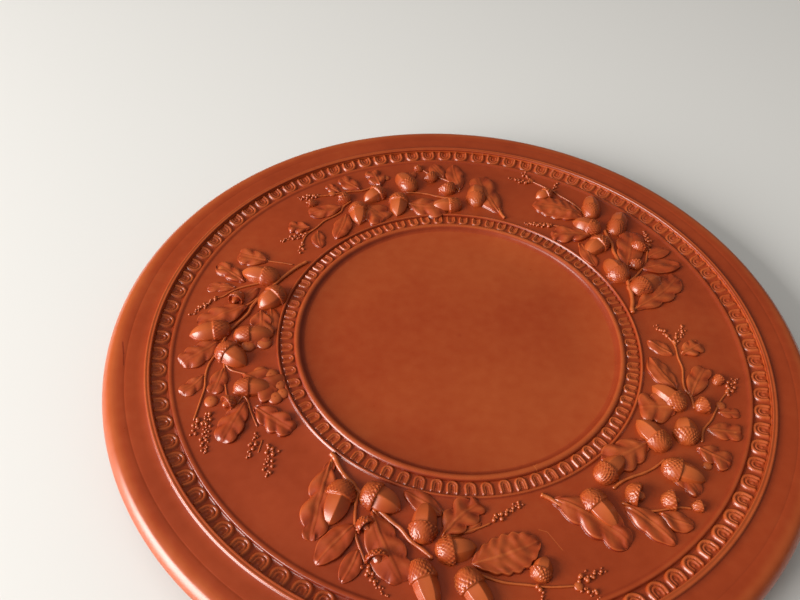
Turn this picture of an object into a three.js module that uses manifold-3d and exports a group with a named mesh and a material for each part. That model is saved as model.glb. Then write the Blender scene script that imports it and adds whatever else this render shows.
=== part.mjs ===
// Terra sigillata plate: a wheel-thrown platter with a raised field of oak sprays between two egg bands.
// Millimetres, +Z up. The origin is at the centre of the foot ring's underside.

import * as THREE from 'three';
import { mergeVertices } from 'three/addons/utils/BufferGeometryUtils.js';
import Module from 'manifold-3d';

const wasm = await Module();
wasm.setup();

// Driving dimensions: the turned body
const RIM_RADIUS = 180;
const FIELD_Z = 22;
const DISC_RADIUS = 81.2;
const DISC_Z = FIELD_Z - 1.2;
const FOOT_OUTER_RADIUS = 105;
const FOOT_INNER_RADIUS = 97;
const FLOOR_UNDER_Z = 12;
const BODY_SIDES = 52;

// Driving dimensions: the two egg bands, from the channel's inner to its outer edge
const OUTER_BAND = { count: 90, inner: 149, outer: 157, eggWidth: 8.4, depth: 1, slope: 1.6, rise: 1.35 };
const INNER_BAND = { count: 74, inner: 86.6, outer: 93.1, eggWidth: 5.2, depth: 0.5, slope: 0, rise: 0.9 };
const OUTER_BAND_START = 212.8;
const INNER_BAND_START = 209.1;

// Driving dimensions: the relief of the oak sprays, as heights above the field
const LEAF_RISE = 2.4;
const STEM_WIDTH = 2.4;
const STEM_RISE = 1.6;
const CATKIN_WIDTH = 3.4;
const CATKIN_RISE = 1.1;
const SUNK = 0.8;

// Outlines along a form from its base to its tip, as shares of its length and of its half width. A large
// leaf has three lobes on each side with waists between them, a middling one two and a small one none.
const LARGE_LEAF = {
  from: 12, rise: 1, outline: [[0.16, 0.72], [0.32, 0.52], [0.5, 1.06], [0.67, 0.66], [0.84, 0.8]],
};
const MIDDLING_LEAF = { from: 8, rise: 1, outline: [[0.25, 0.85], [0.5, 0.74], [0.74, 0.95]] };
const SMALL_LEAF = { from: 0, rise: 0.7, outline: [[0.5, 1]] };
const ACORN_OUTLINE = [[0.1, 0.64], [0.4, 1], [0.44, 0.9], [0.8, 0.72]];
const CUP_WIDEST_AT = 0.4;
// A ridge's edges are below the field, so its foot is this much wider than what shows above it
const LEAF_SPREAD = 1.16;
const STEM_SPREAD = 1.44;
const CATKIN_SPREAD = 1.6;

// The sprays as they grow on the plate. Each end is an angle in degrees, counted from +X towards +Y,
// and a radius. A leaf, an acorn or a cup is [angle, radius] of its base, then of its tip, then its width.
const LEFT_SPRAY = {
  stems: [
    [[151, 97.5], [160, 102.5], [173, 110.5], [181, 116.5], [186, 121]],
    [[192.5, 121], [199, 121.8], [206, 122.5]],
    [[190.5, 125.5], [199, 131.5], [206.3, 140]],
    [[193, 120.5], [195.5, 118], [198, 110]],
    [[166.5, 116], [170, 125], [173, 131]],
  ],
  leaves: [
    [156.8, 117, 158, 134.5, 11.5],
    [166.2, 121, 163, 141, 9.5],
    [168.8, 124, 170.5, 139, 6],
    [174, 113.5, 181.5, 136, 14],
    [175, 106, 189, 106, 14],
    [174, 101, 183, 96.5, 7],
    [186.5, 124, 192, 142, 13],
    [195.8, 131, 199.3, 143, 8],
    [194.5, 121.5, 201, 128.5, 9],
    [197.5, 113, 206, 97.5, 19],
    [205.8, 114.5, 213.5, 132, 12.5],
    [208, 112, 219.5, 102, 12.5],
    [167, 112, 174, 118.5, 6],
  ],
  acorns: [
    [162, 104, 163.3, 126, 13],
    [165.8, 98.5, 174.5, 107, 14.2],
    [182.5, 118.5, 184.5, 139.5, 12.7],
    [184.8, 117, 184.3, 96.4, 11.5],
    [188, 124, 194.8, 110.5, 13.5],
    [201, 118.5, 204, 100.5, 11],
  ],
  cups: [
    [170, 120, 175.5, 121.5, 8.5],
    [202.3, 126, 203.5, 133, 8.4],
    [204.3, 119, 205.6, 127, 9],
  ],
  catkins: [
    [173, 132, 179, 142],
    [206, 136, 213, 140.5],
    [215.3, 117, 220.3, 127.5],
    [221.7, 115, 226, 125.7],
  ],
};

const FRONT_SPRAY = {
  stems: [
    [[232, 96.8], [236, 99.5], [244.3, 105], [253.5, 111.5], [258, 116], [264, 124]],
    [[245, 110], [248.7, 124.3], [252.3, 133]],
    [[265.5, 114], [273, 109], [276.5, 106.5]],
    [[274, 130], [281, 134.5], [290, 139.5]],
  ],
  leaves: [
    [233.3, 99, 241.5, 134.3, 14],
    [247.2, 119, 244.6, 142, 11.3],
    [250, 128.5, 249.8, 144, 8.5],
    [249, 110.5, 259.3, 136, 16],
    [265, 104, 254.5, 96.5, 9],
    [265.3, 114, 274.3, 97, 13],
    [271.5, 124.5, 286, 117.5, 17],
  ],
  acorns: [
    [240, 103, 242.6, 125, 13.4],
    [244.5, 103.5, 255.2, 105.5, 14],
    [261.3, 118.5, 260.8, 99, 12.5],
    [264.3, 121, 272.7, 117, 12.5],
    [261, 125, 265.3, 145.5, 12],
    [269.3, 127, 274.2, 145.5, 12],
    [283, 134, 286, 124.5, 9.5],
  ],
  cups: [
    [247.6, 115.8, 251.2, 120.6, 8.5],
    [253.2, 126.3, 254.8, 133, 10],
  ],
  catkins: [
    [253, 135, 257.5, 144],
    [277, 105, 285.5, 98.5],
    [290, 137, 295.5, 137],
    [290, 141, 292.5, 146],
    [283, 136, 283.3, 146],
  ],
};

const RIGHT_SPRAY = {
  stems: [
    [[291.2, 98], [294, 104.8], [297.5, 111], [299, 116]],
    [[308, 109.5], [314, 111], [323.5, 117]],
    [[307, 116.5], [311, 127.5], [317, 138]],
    [[332.3, 128], [339, 129.5], [347.5, 136]],
    [[343.8, 118.5], [348, 114.5], [360, 112.5], [364, 109]],
  ],
  leaves: [
    [293, 101, 302, 133, 16],
    [307, 118.5, 309, 143.5, 11],
    [311.5, 129.5, 314.3, 143.5, 9.5],
    [322.5, 116.5, 320.5, 137, 10],
    [325, 107, 311.5, 99, 16],
    [338.5, 113, 334.5, 96.5, 18],
    [330.3, 126.5, 330.3, 143, 12],
    [336, 128, 338.5, 144, 10],
    [341.5, 132, 343, 142, 6],
    [343.8, 118.8, 353.3, 126, 10],
    [344.8, 111.5, 354.5, 98, 11],
    [357, 115, 360.5, 126, 10],
    [356, 110.5, 361, 98.5, 8],
  ],
  acorns: [
    [301.3, 103.5, 302.3, 124.5, 12.5],
    [306.3, 103, 317, 102, 11.5],
    [321.3, 117, 324, 136.3, 12.5],
    [325.8, 116, 330, 97.5, 12.5],
    [329.8, 122.5, 337, 117, 12.5],
    [339.3, 117, 343.8, 99.8, 12],
  ],
  cups: [
    [309.8, 113.5, 312, 123, 11],
    [314, 126.5, 317, 133.5, 9],
    [340.8, 121.3, 343.3, 129.5, 8.5],
    [349, 130, 352, 135, 5.5],
    [317.3, 137.5, 319.5, 142.5, 5.5],
  ],
  catkins: [
    [347, 137, 352, 141],
    [360, 113, 366.5, 121],
    [363, 110, 367.5, 105],
  ],
};

// Five sprays stand round the field. The two at the back repeat the front and the right one.
const SPRAYS = [
  { growth: LEFT_SPRAY, turn: 0 },
  { growth: FRONT_SPRAY, turn: 0 },
  { growth: RIGHT_SPRAY, turn: 0 },
  { growth: FRONT_SPRAY, turn: 140.5 },
  { growth: RIGHT_SPRAY, turn: -218 },
];

// The closed profile of the turned body, from the axis below to the axis above, as [radius, height].
const BODY_PROFILE = [
  [0, FLOOR_UNDER_Z],
  [FOOT_INNER_RADIUS - 5, FLOOR_UNDER_Z],
  [FOOT_INNER_RADIUS, 0],
  [FOOT_OUTER_RADIUS, 0],
  [FOOT_OUTER_RADIUS + 1.5, 7.5],
  [FOOT_OUTER_RADIUS + 5, 9.6],
  [RIM_RADIUS - 8, FIELD_Z - 7.4],
  [RIM_RADIUS - 3.5, FIELD_Z - 6.6],
  [RIM_RADIUS - 0.6, FIELD_Z - 5],
  [RIM_RADIUS, FIELD_Z - 3.3],
  [RIM_RADIUS - 0.9, FIELD_Z - 0.8],
  [RIM_RADIUS - 3.2, FIELD_Z + 1.3],
  [RIM_RADIUS - 7, FIELD_Z + 2.1],
  [OUTER_BAND.outer + 5, FIELD_Z + 1.8],
  [OUTER_BAND.outer + 2.8, FIELD_Z + 2.2],
  [OUTER_BAND.outer + 1.4, FIELD_Z + 3],
  [OUTER_BAND.outer, FIELD_Z - OUTER_BAND.depth + OUTER_BAND.slope],
  [OUTER_BAND.inner, FIELD_Z - OUTER_BAND.depth],
  [OUTER_BAND.inner - 1.4, FIELD_Z + 0.75],
  [OUTER_BAND.inner - 3.6, FIELD_Z],
  [95.4, FIELD_Z],
  [94.2, FIELD_Z + 0.9],
  [INNER_BAND.outer, FIELD_Z - INNER_BAND.depth],
  [INNER_BAND.inner, FIELD_Z - INNER_BAND.depth],
  [DISC_RADIUS + 3.4, FIELD_Z + 1.1],
  [DISC_RADIUS, DISC_Z],
  [0, DISC_Z],
];

// A closed indexed geometry becomes a solid that can be joined to others.
function toSolid(geometry) {
  geometry.deleteAttribute('normal');
  geometry.deleteAttribute('uv');
  const merged = mergeVertices(geometry, 1e-4);
  return new wasm.Manifold(new wasm.Mesh({
    numProp: 3,
    vertProperties: new Float32Array(merged.attributes.position.array),
    triVerts: new Uint32Array(merged.index.array),
  }));
}

function polar(angle, radius) {
  const radians = THREE.MathUtils.degToRad(angle);
  return new THREE.Vector2(radius * Math.cos(radians), radius * Math.sin(radians));
}

// A form with equal closed sections along a line on the field. Each station is the distance along the
// line, and its section is a list of [across, height above the field]. Both ends close on one point.
function sectionedSolid(start, end, stations) {
  const along = end.clone().sub(start).normalize();
  const across = new THREE.Vector2(-along.y, along.x);
  const positions = [];
  const place = (distance, side, height) => {
    positions.push(
      start.x + along.x * distance + across.x * side,
      start.y + along.y * distance + across.y * side,
      FIELD_Z + height,
    );
  };
  const sides = stations[0].section.length;
  place(0, 0, -SUNK);
  for (const { distance, section } of stations) {
    for (const [side, height] of section) place(distance, side, height);
  }
  place(end.distanceTo(start), 0, -SUNK);
  const last = 1 + stations.length * sides;
  const faces = [];
  for (let k = 0; k < sides; k += 1) {
    const next = (k + 1) % sides;
    faces.push(0, 1 + next, 1 + k);
    for (let s = 0; s + 1 < stations.length; s += 1) {
      const here = 1 + s * sides;
      const ahead = here + sides;
      faces.push(here + k, here + next, ahead + k);
      faces.push(here + next, ahead + next, ahead + k);
    }
    faces.push(last - sides + k, last - sides + next, last);
  }
  const geometry = new THREE.BufferGeometry();
  geometry.setAttribute('position', new THREE.Float32BufferAttribute(positions, 3));
  geometry.setIndex(faces);
  return toSolid(geometry);
}

// A form whose sections follow an outline of [share of the length, share of the half width].
function outlinedSolid([baseAngle, baseRadius, tipAngle, tipRadius], outline, sectionAt) {
  const start = polar(baseAngle, baseRadius);
  const end = polar(tipAngle, tipRadius);
  const length = end.distanceTo(start);
  return sectionedSolid(start, end, outline.map(([at, share]) => (
    { distance: at * length, section: sectionAt(share) })));
}

// The section of a leaf: a ridge over the midrib, falling to both edges, which are sunk in the field.
function ridgeSection(halfWidth, rise) {
  return [[halfWidth, -SUNK], [0, rise], [-halfWidth, -SUNK]];
}

// The section of an acorn: six sides of a slightly flattened round form, half sunk in the field.
function roundSection(radius) {
  const flattened = 0.92 * radius;
  return [0, 1, 2, 3, 4, 5].map((k) => {
    const angle = k * Math.PI / 3;
    return [radius * Math.cos(angle), flattened * Math.sin(angle) - 0.1];
  });
}

function leaf(row) {
  const width = row[4];
  const kind = [LARGE_LEAF, MIDDLING_LEAF, SMALL_LEAF].find(({ from }) => width >= from);
  const half = width / 2 * LEAF_SPREAD;
  return outlinedSolid(row, kind.outline, (share) => ridgeSection(share * half, kind.rise * LEAF_RISE));
}

// An acorn: a round cup with a rim, and the nut that comes out of it and ends in a point.
function acorn(row) {
  return outlinedSolid(row, ACORN_OUTLINE, (share) => roundSection(share * row[4] / 2));
}

// An empty cup: one swelling between two points.
function cup(row) {
  return outlinedSolid(row, [[CUP_WIDEST_AT, 1]], (share) => roundSection(share * row[4] / 2));
}

function catkin(row) {
  const half = CATKIN_WIDTH / 2 * CATKIN_SPREAD;
  return outlinedSolid(row, [[0.5, 1]], () => ridgeSection(half, CATKIN_RISE));
}

// One straight length of a stem, a little longer than its two ends so that the lengths run together.
function stemLength(from, to) {
  const start = polar(...from);
  const end = polar(...to);
  const overlap = end.clone().sub(start).setLength(STEM_WIDTH);
  start.sub(overlap);
  end.add(overlap);
  const length = end.distanceTo(start);
  const section = ridgeSection(STEM_WIDTH / 2 * STEM_SPREAD, STEM_RISE);
  return sectionedSolid(start, end, [
    { distance: STEM_WIDTH, section },
    { distance: length - STEM_WIDTH, section },
  ]);
}

function stem(route) {
  return route.slice(1).map((point, k) => stemLength(route[k], point));
}

function spray({ growth, turn }) {
  const turned = ([a, r, b, s, ...rest]) => [a + turn, r, b + turn, s, ...rest];
  return [
    ...growth.stems.flatMap((route) => stem(route.map(([a, r]) => [a + turn, r]))),
    ...growth.leaves.map((row) => leaf(turned(row))),
    ...growth.acorns.map((row) => acorn(turned(row))),
    ...growth.cups.map((row) => cup(turned(row))),
    ...growth.catkins.map((row) => catkin(turned(row))),
  ];
}

// One egg: a five-cornered tongue on the channel's floor, its point towards the centre of the plate.
function egg(band, angle) {
  const depth = band.outer - band.inner;
  const floor = (radius) => FIELD_Z - band.depth + band.slope * (radius - band.inner) / depth;
  const half = band.eggWidth / 2;
  const outline = [
    [band.inner + 0.08 * depth, 0],
    [band.inner + 0.42 * depth, half],
    [band.outer - 0.1 * depth, half * 0.92],
    [band.outer - 0.1 * depth, -half * 0.92],
    [band.inner + 0.42 * depth, -half],
  ];
  const radians = THREE.MathUtils.degToRad(angle);
  const positions = [];
  const place = (radius, side, height) => {
    positions.push(
      radius * Math.cos(radians) - side * Math.sin(radians),
      radius * Math.sin(radians) + side * Math.cos(radians),
      height,
    );
  };
  for (const [radius, side] of outline) place(radius, side, floor(radius) - 0.3);
  place(band.inner + 0.55 * depth, 0, floor(band.inner + 0.55 * depth) + band.rise);
  const faces = [0, 1, 4, 1, 3, 4, 1, 2, 3];
  for (let k = 0; k < 5; k += 1) faces.push((k + 1) % 5, k, 5);
  const geometry = new THREE.BufferGeometry();
  geometry.setAttribute('position', new THREE.Float32BufferAttribute(positions, 3));
  geometry.setIndex(faces);
  return toSolid(geometry);
}

function eggBand(band, startAngle) {
  return Array.from({ length: band.count }, (_, k) => egg(band, startAngle + k * 360 / band.count));
}

function turnedBody() {
  const profile = BODY_PROFILE.map(([radius, height]) => new THREE.Vector2(radius, height));
  const geometry = new THREE.LatheGeometry(profile, BODY_SIDES);
  geometry.rotateX(Math.PI / 2);
  return toSolid(geometry);
}

// Everything was formed as one piece of clay, so the parts of the relief are joined to the body.
function plateGeometry() {
  let solid = turnedBody();
  const relief = [
    ...eggBand(OUTER_BAND, OUTER_BAND_START),
    ...eggBand(INNER_BAND, INNER_BAND_START),
    ...SPRAYS.flatMap(spray),
  ];
  for (const form of relief) solid = solid.add(form);
  const mesh = solid.getMesh();
  const geometry = new THREE.BufferGeometry();
  geometry.setAttribute('position', new THREE.BufferAttribute(mesh.vertProperties, 3));
  geometry.setIndex(new THREE.BufferAttribute(mesh.triVerts, 1));
  return geometry;
}

const sigillata = new THREE.MeshStandardMaterial({ color: 0x9b3f1b, roughness: 0.3, metalness: 0 });
const plate = new THREE.Mesh(plateGeometry(), sigillata);
plate.name = 'plate';

const terraSigillataPlate = new THREE.Group();
terraSigillataPlate.add(plate);

export default terraSigillataPlate;
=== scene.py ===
import math

import bpy
import numpy as np
from bpy.props import FloatProperty, FloatVectorProperty, IntProperty, PointerProperty
from mathutils import Matrix, Vector


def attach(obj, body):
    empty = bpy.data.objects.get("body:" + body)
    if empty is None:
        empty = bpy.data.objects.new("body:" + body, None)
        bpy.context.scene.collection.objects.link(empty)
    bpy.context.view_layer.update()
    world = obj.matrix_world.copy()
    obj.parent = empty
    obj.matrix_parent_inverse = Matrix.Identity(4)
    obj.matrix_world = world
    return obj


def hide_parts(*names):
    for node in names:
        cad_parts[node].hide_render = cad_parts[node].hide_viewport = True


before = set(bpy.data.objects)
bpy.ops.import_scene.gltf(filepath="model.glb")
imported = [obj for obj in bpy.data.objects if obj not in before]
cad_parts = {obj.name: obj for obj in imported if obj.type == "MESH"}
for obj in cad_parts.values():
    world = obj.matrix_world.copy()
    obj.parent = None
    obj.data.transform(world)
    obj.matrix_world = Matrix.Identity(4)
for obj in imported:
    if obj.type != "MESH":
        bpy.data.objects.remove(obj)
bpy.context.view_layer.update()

bl_info = {
    "name": "Sigillata plate",
    "version": (1, 0, 0),
    "blender": (4, 5, 0),
    "location": "View3D > Sidebar > Plate",
    "description": "Builds a red gloss relief plate with egg bands and oak sprays",
    "category": "Add Mesh",
}

# Millimetres are used for all sizes below, and this turns them into the frame's metres.
MM = 0.001

# Driving dimensions: the turned body, as in the solid
RIM_RADIUS = 180.0
FIELD_Z = 22.0
DISC_RADIUS = 81.1
DISC_Z = FIELD_Z - 1.2
FOOT_OUTER = 105.0
FOOT_INNER = 97.0
FLOOR_UNDER_Z = 12.0
# The border: its inner edge, its height over the field, and where the lip begins
BORDER_INNER = 156.5
BORDER_RISE = 1.9
LIP_INNER = 171.5

# Driving dimensions: the egg bands, as radii of the channel and heights under the field
OUTER_BAND = {"count": 90, "start": 212.8, "inner": 148.6, "outer": 156.7, "depth": 1.0, "slope": 1.6,
              "half": 3.5, "turn": 4.35, "end": 6.9, "pip": 5.3, "ridge": 1.0, "rise": 1.2}
INNER_BAND = {"count": 74, "start": 209.1, "inner": 86.2, "outer": 93.4, "depth": 0.5, "slope": 0.0,
              "half": 2.15, "turn": 3.0, "end": 6.2, "pip": 5.2, "ridge": 0.68, "rise": 0.9}
# How far the turned body lies under the surface of a band that is set into it
BAND_SEAT = 0.5

# How deep the forms of the relief are sunk in the field
SUNK = 0.9

# The sprays as they grow on the plate. Each end is an angle in degrees, counted from +X towards +Y,
# and a radius. A leaf, an acorn or a cup is its base, its tip and its width. A leaf ends with the depth
# of its lobes, as a share of its half width, and a catkin with its spread.
LEFT_SPRAY = {
    "stems": [
        (1.15, [(151, 97.5), (155, 100), (160, 102.5), (164, 104.5), (173, 110.5), (177, 112), (181, 116.5),
                (184, 120), (188, 123)]),
        (0.7, [(192.5, 121), (196, 121.3), (199, 121.8), (204, 122.5)]),
        (0.85, [(187, 122), (190.5, 125.5), (193, 128.5), (196, 130.5), (199, 131.5), (202, 134.5),
                (206.3, 140)]),
        (0.75, [(190, 122), (193, 120.5), (195.5, 118), (198, 110), (199.5, 108)]),
        (0.75, [(163, 106), (165, 112), (168, 120.5), (170, 125), (172, 128), (173, 131)]),
        (0.7, [(170.5, 109.5), (174, 114), (178, 122), (180, 130)]),
        (0.7, [(202, 119), (204.8, 114), (209, 114.2), (213.7, 114.7)]),
        (0.6, [(204, 115), (205.8, 119), (208.5, 123.5)]),
        (0.5, [(217.5, 116), (219.8, 120.7)]),
        (0.45, [(154.5, 103), (155.6, 110), (156.9, 119), (157.4, 128)]),
    ],
    "leaves": [
        (156.8, 117, 158, 134.5, 11.5, 0.12), (166.2, 121, 163, 141, 9.5, 0.3),
        (168.8, 124, 170.5, 139, 6.5, 0.2), (174, 113.5, 181.5, 136, 14, 0.16),
        (175, 106, 189, 106, 14, 0.3), (174, 101, 183, 96.5, 8, 0.04), (186.5, 124, 192, 142, 13, 0.14),
        (195.8, 131, 199.3, 143, 8.5, 0.16), (194.5, 121.5, 201, 128.5, 9, 0.25),
        (197.5, 113, 206, 97.5, 19, 0.38), (205.8, 114.5, 213.5, 132, 12.5, 0.12),
        (208, 112, 219.5, 102, 12.5, 0.26), (167, 112, 174, 118.5, 6.5, 0.05),
    ],
    "acorns": [
        (162, 104, 163.3, 126, 13), (165.8, 98.5, 174.5, 107, 14.2), (182.5, 118.5, 184.5, 139.5, 12.7),
        (184.8, 117, 184.3, 96.4, 11.5), (188, 124, 194.8, 110.5, 13.5), (201, 118.5, 204, 100.5, 11),
    ],
    "cups": [
        (170, 120, 175.5, 121.5, 8.5), (204.3, 119, 205.6, 127, 9),
    ],
    "knobs": [
        (197.9, 104.2, 6.6), (199.7, 99.6, 7.2), (203.9, 97.2, 6.4), (207, 97, 5.8), (207.6, 101, 6.8),
        (188.3, 109.1, 7), (187.6, 101.2, 7.4), (163.8, 137.5, 4.2), (159.2, 130.5, 5),
        (203, 130, 6.2),
    ],
    "catkins": [
        (173, 132, 179, 142, 1), (205.6, 133, 214.3, 141.3, 1.25), (206.6, 137.5, 209.8, 143.2, 1.1),
        (215.3, 116.4, 220, 126.5, 1.0), (220, 114.6, 226, 124.5, 1.2), (220.4, 116.5, 223, 112.8, 0.9),
    ],
}

FRONT_SPRAY = {
    "stems": [
        (1.5, [(231.8, 96.6), (233.5, 97.2), (236, 99.5), (239.5, 102), (242, 103), (244.3, 105),
               (253.5, 111.5), (256.5, 114), (259, 118), (262, 121), (264, 124)]),
        (0.9, [(233, 98), (236, 106), (238.3, 114), (240, 122), (241.2, 131)]),
        (1.0, [(244.3, 105), (245, 110), (246.3, 115.5), (247.3, 119.5), (248.7, 124.3), (252.3, 133)]),
        (1.0, [(249, 109), (252, 114), (254.5, 119.5), (256.5, 125.5), (258, 131)]),
        (0.7, [(265.5, 114), (268, 112.5), (273, 109), (276.5, 106.5)]),
        (0.7, [(272, 128), (274, 130), (277, 132.5), (281, 134.5), (284, 136.5), (287, 138), (290, 139.5)]),
        (0.6, [(259, 96.2), (262, 98.5), (264.5, 101), (265.8, 103.5)]),
    ],
    "leaves": [
        (233.3, 99, 241.5, 134.3, 14, 0.25), (247.2, 119, 244.6, 142, 11.5, 0.04),
        (250, 128.5, 249.8, 144, 8.5, 0.02), (249, 110.5, 259.3, 136, 16, 0.12),
        (265, 104, 254.5, 96.5, 9, 0.05), (265.3, 114, 274.3, 97, 14, 0.3),
        (271.5, 124.5, 286, 117.5, 17.5, 0.09), (270.3, 111, 274.2, 106, 3, 0.0),
    ],
    "acorns": [
        (240, 103, 242.6, 125, 13.4), (244.5, 103.5, 255.2, 105.5, 14), (261.3, 118.5, 260.8, 99, 12.5),
        (264.3, 121, 272.7, 117, 12.5), (261, 125, 265.3, 145.5, 12), (269.3, 127, 274.2, 145.5, 12),
        (283, 134, 286, 124.5, 9.5),
    ],
    "cups": [
        (247.6, 115.8, 251.2, 120.6, 8.5), (253.2, 126.3, 254.8, 133, 10),
    ],
    "knobs": [
        (268.3, 105, 4), (273.2, 100, 4.6), (289.5, 139.5, 3.6),
    ],
    "catkins": [
        (252.3, 134, 257.5, 143.5, 1), (277, 105, 285.5, 98.5, 1), (290, 137, 295.5, 137, 1),
        (290, 141, 292.5, 146, 1), (283, 136, 283.3, 146, 0.5),
    ],
}

RIGHT_SPRAY = {
    "stems": [
        (1.2, [(290.8, 97.5), (292.5, 100.5), (294, 104.8), (296, 106), (297.5, 111), (299, 116)]),
        (0.9, [(308, 109.5), (311, 109.5), (314, 111), (317, 113.5), (320, 115.5), (323.5, 117)]),
        (0.75, [(307, 116.5), (309.3, 124), (311, 127.5), (315.5, 134), (317, 138)]),
        (0.75, [(332.3, 128), (335.5, 127), (339, 129.5), (342, 131), (345, 133), (347.5, 136)]),
        (0.8, [(340.5, 121), (343.8, 118.5), (345.5, 115.5), (348, 114.5), (352, 114.5), (355.5, 113),
               (360, 112.5), (364, 109)]),
        (0.6, [(343.8, 118.8), (348, 120.3), (351, 123.3)]),
        (0.6, [(344.8, 112), (349, 105), (353, 100)]),
    ],
    "leaves": [
        (293, 101, 302, 133, 16, 0.16), (307, 118.5, 309, 143.5, 11.5, 0.07),
        (311.5, 129.5, 314.3, 143.5, 9.5, 0.06), (322.5, 116.5, 320.5, 137, 10, 0.2),
        (325, 107, 311.5, 99, 16, 0.18), (338.5, 113, 334.5, 96.5, 18, 0.2),
        (330.3, 126.5, 330.3, 143, 12, 0.25), (336, 128, 338.5, 144, 10, 0.25),
        (341.5, 132, 343, 142, 6, 0.2), (343.8, 118.8, 353.3, 126, 10.5, 0.18),
        (344.8, 111.5, 354.5, 98, 11, 0.08), (357, 115, 360.5, 126, 10, 0.25),
        (356, 110.5, 361, 98.5, 8, 0.09),
    ],
    "acorns": [
        (301.3, 103.5, 302.3, 124.5, 12.5), (306.3, 103, 317, 102, 11.5), (321.3, 117, 324, 136.3, 12.5),
        (325.8, 116, 330, 97.5, 12.5), (329.8, 122.5, 337, 117, 12.5), (339.3, 117, 343.8, 99.8, 12),
    ],
    "cups": [
        (309.8, 113.5, 312, 123, 11), (314, 126.5, 317, 133.5, 9), (340.8, 121.3, 343.3, 129.5, 8.5),
        (349, 130, 352, 135, 5.5), (317.3, 137.5, 319.5, 142.5, 5.5),
    ],
    "knobs": [
        (336.5, 98.5, 5.6), (341.3, 104.5, 4.6), (330.6, 139.5, 4.6), (337.8, 140.5, 4.6), (327.5, 134, 4),
        (343.5, 133, 4.4),
    ],
    "catkins": [
        (347, 136, 352, 141, 1.2), (360, 113, 366.5, 121, 1.1), (363, 110, 367.5, 105, 0.8),
    ],
}

# Five sprays stand round the field, each with its turn in degrees and how crisp its mould came out.
# The two at the back repeat the front and the right one.
SPRAYS = [
    ("spray_left", LEFT_SPRAY, 0.0, 0.35),
    ("spray_front", FRONT_SPRAY, 0.0, 1.0),
    ("spray_right", RIGHT_SPRAY, 0.0, 0.9),
    ("spray_back_right", FRONT_SPRAY, 140.5, 0.7),
    ("spray_back_left", RIGHT_SPRAY, -218.0, 0.7),
]

# Scratches, cracks and nicks: angle and radius of both ends, the width, and how pale or dark it is. The two dark
# ones on the lip are painted shade in a nick.
SCRATCHES = [
    (286.7, 112.3, 288.3, 114.2, 0.5, 0.3), (288.3, 114.2, 289.7, 123.5, 0.55, 0.3),
    (216.6, 159.2, 217.4, 160.4, 0.9, 0.3), (292.8, 83.4, 293.2, 86.6, 0.6, 0.3),
    (293.2, 83.8, 294.2, 83.4, 0.5, 0.3), (186.3, 171.6, 188.8, 170.0, 1.1, -0.3),
    (188.8, 170.0, 191.3, 169.3, 0.9, -0.25),
]

# The camera, recovered from the plate's concentric circles, in shares of the rim's radius
CAMERA = {"focal_share": 0.9518, "distance": 2.2974, "elevation": 0.8246, "roll": 0.0518,
          "target": (-0.1777, 0.1213)}


class PlateSizes(bpy.types.PropertyGroup):
    """Fineness of the turned body and its bands."""

    sides: IntProperty(name="Sides", description="Straight lengths round the turned body", default=540)
    egg_steps: IntProperty(name="Egg steps", description="Points across one egg", default=26)
    wobble: FloatProperty(name="Hand wobble", description="How uneven the turning is",
                          default=0.12 * MM, unit="LENGTH")


class SprayShape(bpy.types.PropertyGroup):
    """How the leaves and acorns stand out of the field."""

    leaf_rise: FloatProperty(name="Leaf rise", description="Height of a leaf's middle over the field",
                             default=1.9 * MM, unit="LENGTH")
    leaf_edge: FloatProperty(name="Leaf edge", description="Height of a leaf's edge over the field",
                             default=0.8 * MM, unit="LENGTH")
    bead: FloatProperty(name="Catkin bead", description="Radius of a catkin's beads",
                        default=0.95 * MM, unit="LENGTH")
    seed: IntProperty(name="Seed", description="Start of the hand's small variations", default=7)


class ClayColours(bpy.types.PropertyGroup):
    """Colours of the fired gloss slip."""

    slip: FloatVectorProperty(name="Slip", description="Red slip on open surfaces", subtype="COLOR",
                              size=4, default=(0.31, 0.041, 0.0075, 1.0))
    # Dark end of the tone ramp: slip pooled thick, and also painted shade in hollows, on leaf skirts, in cup
    # mouths and in a nick on the lip
    thick_slip_and_painted_shade: FloatVectorProperty(name="Thick slip", description="Darker slip pooled in hollows",
                                    subtype="COLOR", size=4, default=(0.15, 0.0125, 0.0024, 1.0))
    # Light end of the tone ramp: thinner slip, and also painted light on crests, on the lip, on the disc and on
    # the tops of the forms
    thin_slip_and_painted_light: FloatVectorProperty(name="Thin slip", description="Lighter slip on ridges",
                                   subtype="COLOR", size=4, default=(0.52, 0.122, 0.026, 1.0))
    roughness: FloatProperty(name="Roughness", description="Roughness of the gloss slip", default=0.31,
                             min=0.0, max=1.0)


class StageSettings(bpy.types.PropertyGroup):
    """Floor and light."""

    floor: FloatVectorProperty(name="Floor", description="Colour of the floor", subtype="COLOR", size=4,
                               default=(0.70, 0.69, 0.67, 1.0))
    window: FloatProperty(name="Window light", description="Power of the broad light at the left",
                          default=72.0)
    ceiling: FloatProperty(name="Ceiling light", description="Power of the light back from the ceiling",
                           default=17.0)
    fill: FloatProperty(name="Fill light", description="Strength of the light from all round", default=0.29)
    mirrored: FloatProperty(name="Mirrored room", description="Strength of the dim room in the gloss",
                            default=0.07)


# Mesh helpers

def catmull(points, steps):
    """A smooth curve through the points: Catmull-Rom cubics, with the given steps between two points."""
    points = np.asarray(points, float)
    ends = np.vstack([2 * points[0] - points[1], points, 2 * points[-1] - points[-2]])
    t = np.arange(steps)[:, None] / steps
    p0, p1, p2, p3 = (ends[k:len(ends) - 3 + k, None, :] for k in range(4))
    curve = 0.5 * (2 * p1 + (p2 - p0) * t + (2 * p0 - 5 * p1 + 4 * p2 - p3) * t ** 2
                   + (3 * p1 - p0 - 3 * p2 + p3) * t ** 3)
    return np.vstack([curve.reshape(-1, points.shape[1]), points[-1:]])


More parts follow.
